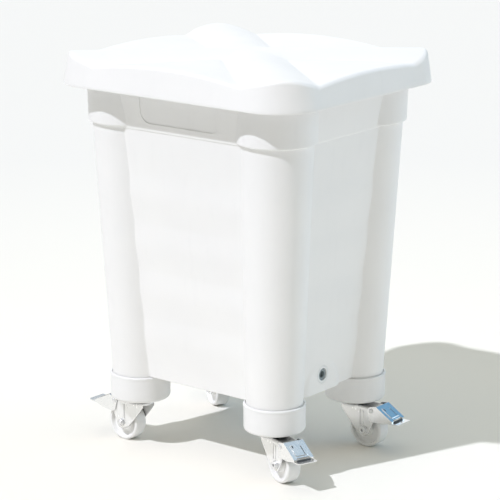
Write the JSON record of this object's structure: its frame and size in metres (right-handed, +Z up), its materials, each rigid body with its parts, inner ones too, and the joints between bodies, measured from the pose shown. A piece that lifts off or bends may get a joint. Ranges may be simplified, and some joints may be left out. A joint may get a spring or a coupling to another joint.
{
  "type": "linen trolley",
  "caption": "Tapered plastic linen trolley with corner columns, a ridged lift-off lid, a side drain and braked swivel castors",
  "frame": {"origin": "on the floor under the middle of the trolley", "axes": "+Z up, +X towards the end panel with the drain, +Y towards a long side"},
  "size_m": [0.6386, 0.5582, 0.8626],
  "materials": {
    "white_plastic": "satin moulded white plastic",
    "nylon": "off-white nylon",
    "stainless": "pressed stainless steel, satin polished",
    "dark_plastic": "dark grey moulded plastic",
    "rubber": "black sealing rubber"
  },
  "bodies": {
    "root": {"tub_body": "white_plastic", "drain_fitting": "white_plastic", "drain_seal": "rubber", "drain_nut": "white_plastic", "foot_cap_front_left": "white_plastic", "swivel_head_front_left": "stainless", "mount_bolt_front_left": "stainless", "foot_cap_front_right": "white_plastic", "swivel_head_front_right": "stainless", "mount_bolt_front_right": "stainless", "foot_cap_rear_right": "white_plastic", "swivel_head_rear_right": "stainless", "mount_bolt_rear_right": "stainless", "foot_cap_rear_left": "white_plastic", "swivel_head_rear_left": "stainless", "mount_bolt_rear_left": "stainless"},
    "lid": {"lid": "white_plastic"},
    "plug": {"drain_plug": "dark_plastic"},
    "castor_front_left": {"fork_front_left": "stainless", "ball_ring_front_left": "stainless", "axle_bolt_front_left": "stainless", "axle_nut_front_left": "stainless", "pedal_pin_front_left": "stainless"},
    "wheel_front_left": {"wheel_front_left": "nylon", "wheel_bush_front_left": "dark_plastic"},
    "pedal_front_left": {"brake_pedal_front_left": "stainless", "brake_shoe_front_left": "dark_plastic"},
    "castor_front_right": {"fork_front_right": "stainless", "ball_ring_front_right": "stainless", "axle_bolt_front_right": "stainless", "axle_nut_front_right": "stainless", "pedal_pin_front_right": "stainless"},
    "wheel_front_right": {"wheel_front_right": "nylon", "wheel_bush_front_right": "dark_plastic"},
    "pedal_front_right": {"brake_pedal_front_right": "stainless", "brake_shoe_front_right": "dark_plastic"},
    "castor_rear_right": {"fork_rear_right": "stainless", "ball_ring_rear_right": "stainless", "axle_bolt_rear_right": "stainless", "axle_nut_rear_right": "stainless", "pedal_pin_rear_right": "stainless"},
    "wheel_rear_right": {"wheel_rear_right": "nylon", "wheel_bush_rear_right": "dark_plastic"},
    "pedal_rear_right": {"brake_pedal_rear_right": "stainless", "brake_shoe_rear_right": "dark_plastic"},
    "castor_rear_left": {"fork_rear_left": "stainless", "ball_ring_rear_left": "stainless", "axle_bolt_rear_left": "stainless", "axle_nut_rear_left": "stainless", "pedal_pin_rear_left": "stainless"},
    "wheel_rear_left": {"wheel_rear_left": "nylon", "wheel_bush_rear_left": "dark_plastic"},
    "pedal_rear_left": {"brake_pedal_rear_left": "stainless", "brake_shoe_rear_left": "dark_plastic"}
  },
  "joints": [
    {"name": "lid_lift", "type": "slide", "parent": "root", "child": "lid", "axis": [0, 0, 1], "range_m": [0, 0.15]},
    {"name": "plug_pull", "type": "slide", "parent": "root", "child": "plug", "axis": [1, 0, 0], "range_m": [0, 0.05]},
    {"name": "swivel_front_left", "type": "hinge", "parent": "root", "child": "castor_front_left", "pos_m": [-0.1828, -0.1425, 0.09], "axis": [0, 0, 1], "continuous": true},
    {"name": "spin_front_left", "type": "hinge", "parent": "castor_front_left", "child": "wheel_front_left", "pos_m": [-0.22079, -0.14184, 0.04], "axis": [-0.0175, -0.9998, 0], "continuous": true},
    {"name": "pedal_front_left", "type": "hinge", "parent": "castor_front_left", "child": "pedal_front_left", "pos_m": [-0.24079, -0.14149, 0.086], "axis": [0.0175, 0.9998, 0], "range_deg": [-6, 14]},
    {"name": "swivel_front_right", "type": "hinge", "parent": "root", "child": "castor_front_right", "pos_m": [0.1828, -0.1425, 0.09], "axis": [0, 0, 1], "continuous": true},
    {"name": "spin_front_right", "type": "hinge", "parent": "castor_front_right", "child": "wheel_front_right", "pos_m": [0.21851, -0.1555, 0.04], "axis": [0.342, 0.9397, 0], "continuous": true},
    {"name": "pedal_front_right", "type": "hinge", "parent": "castor_front_right", "child": "pedal_front_right", "pos_m": [0.2373, -0.16234, 0.086], "axis": [-0.342, -0.9397, 0], "range_deg": [0, 20]},
    {"name": "swivel_rear_right", "type": "hinge", "parent": "root", "child": "castor_rear_right", "pos_m": [0.1828, 0.1425, 0.09], "axis": [0, 0, 1], "continuous": true},
    {"name": "spin_rear_right", "type": "hinge", "parent": "castor_rear_right", "child": "wheel_rear_right", "pos_m": [0.22079, 0.14316, 0.04], "axis": [-0.0175, 0.9998, 0], "continuous": true},
    {"name": "pedal_rear_right", "type": "hinge", "parent": "castor_rear_right", "child": "pedal_rear_right", "pos_m": [0.24079, 0.14351, 0.086], "axis": [0.0175, -0.9998, 0], "range_deg": [0, 20]},
    {"name": "swivel_rear_left", "type": "hinge", "parent": "root", "child": "castor_rear_left", "pos_m": [-0.1828, 0.1425, 0.09], "axis": [0, 0, 1], "continuous": true},
    {"name": "spin_rear_left", "type": "hinge", "parent": "castor_rear_left", "child": "wheel_rear_left", "pos_m": [-0.21571, 0.1615, 0.04], "axis": [-0.5, -0.866, 0], "continuous": true},
    {"name": "pedal_rear_left", "type": "hinge", "parent": "castor_rear_left", "child": "pedal_rear_left", "pos_m": [-0.23303, 0.1715, 0.086], "axis": [0.5, 0.866, 0], "range_deg": [0, 20]}
  ]
}
